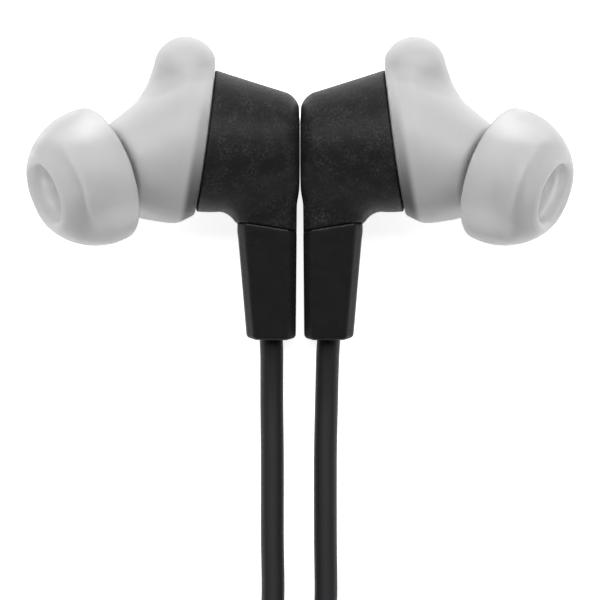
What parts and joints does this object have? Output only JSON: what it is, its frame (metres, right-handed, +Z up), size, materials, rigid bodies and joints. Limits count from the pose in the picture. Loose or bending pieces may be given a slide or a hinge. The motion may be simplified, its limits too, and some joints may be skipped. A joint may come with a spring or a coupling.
{
  "type": "wired earphones",
  "caption": "Wired in-ear earphones with gel sleeves, silicone tips, flexible boots and a cord with a splitter and a slim audio plug.",
  "frame": {"origin": "middle of the pair of earpieces, on the surface they lie on", "axes": "+Z up; +X towards the right-hand ear tip; +Y away from the cords"},
  "size_m": [0.0504, 0.1419, 0.0183],
  "materials": {
    "housing_plastic": "soft-touch, fine moulded texture",
    "screen_mesh": "woven mesh",
    "gel_silicone": "frosted translucent",
    "tip_silicone": "frosted translucent",
    "boot_rubber": "smooth satin",
    "cord_jacket": "smooth satin",
    "basket_steel": "stamped",
    "gasket_foam": "foam",
    "diaphragm_film": "clear film",
    "coil_copper": "enamelled wire",
    "pole_steel": "zinc plated",
    "magnet_nickel": "nickel plated",
    "board_resin": "solder resist",
    "tie_rubber": "satin",
    "splitter_plastic": "fine moulded texture",
    "contact_gold": "gold plated",
    "insulator_plastic": "moulded",
    "grip_rubber": "satin"
  },
  "bodies": {
    "cable_set": {"left_rear_shell": "housing_plastic", "right_rear_shell": "housing_plastic", "left_front_shell": "housing_plastic", "right_front_shell": "housing_plastic", "left_nozzle_screen": "screen_mesh", "right_nozzle_screen": "screen_mesh", "left_boot": "boot_rubber", "right_boot": "boot_rubber", "left_cable_stop": "cord_jacket", "right_cable_stop": "cord_jacket", "left_driver_basket": "basket_steel", "right_driver_basket": "basket_steel", "left_driver_gasket": "gasket_foam", "right_driver_gasket": "gasket_foam", "left_diaphragm": "diaphragm_film", "right_diaphragm": "diaphragm_film", "left_voice_coil": "coil_copper", "right_voice_coil": "coil_copper", "left_pole_plate": "pole_steel", "right_pole_plate": "pole_steel", "left_magnet": "magnet_nickel", "right_magnet": "magnet_nickel", "left_yoke": "pole_steel", "right_yoke": "pole_steel", "left_terminal_board": "board_resin", "right_terminal_board": "board_resin", "left_lead_wires": "coil_copper", "right_lead_wires": "coil_copper", "left_branch_run": "cord_jacket", "right_branch_run": "cord_jacket", "left_branch_coil": "cord_jacket", "right_branch_coil": "cord_jacket", "left_branch_tail": "cord_jacket", "right_branch_tail": "cord_jacket", "main_lead": "cord_jacket", "main_coil": "cord_jacket", "main_tail": "cord_jacket", "cable_ties": "tie_rubber", "splitter_lower": "splitter_plastic", "splitter_upper": "splitter_plastic", "splitter_crimp": "basket_steel", "plug_tip": "contact_gold", "plug_front_insulator": "insulator_plastic", "plug_ring": "contact_gold", "plug_rear_insulator": "insulator_plastic", "plug_sleeve": "contact_gold", "plug_grip": "grip_rubber", "plug_relief": "grip_rubber"},
    "left_gel": {"left_ear_gel": "gel_silicone"},
    "right_gel": {"right_ear_gel": "gel_silicone"},
    "left_tip": {"left_ear_tip": "tip_silicone"},
    "right_tip": {"right_ear_tip": "tip_silicone"}
  },
  "joints": [
    {"name": "left_gel_slide", "type": "slide", "parent": "cable_set", "child": "left_gel", "axis": [-0.8631, -0.3197, 0.3909], "range_m": [0, 0.016]},
    {"name": "left_tip_slide", "type": "slide", "parent": "left_gel", "child": "left_tip", "axis": [-0.8631, -0.3197, 0.3909], "range_m": [0, 0.008]},
    {"name": "right_gel_slide", "type": "slide", "parent": "cable_set", "child": "right_gel", "axis": [0.8631, -0.3197, 0.3909], "range_m": [0, 0.016]},
    {"name": "right_tip_slide", "type": "slide", "parent": "right_gel", "child": "right_tip", "axis": [0.8631, -0.3197, 0.3909], "range_m": [0, 0.008]}
  ]
}
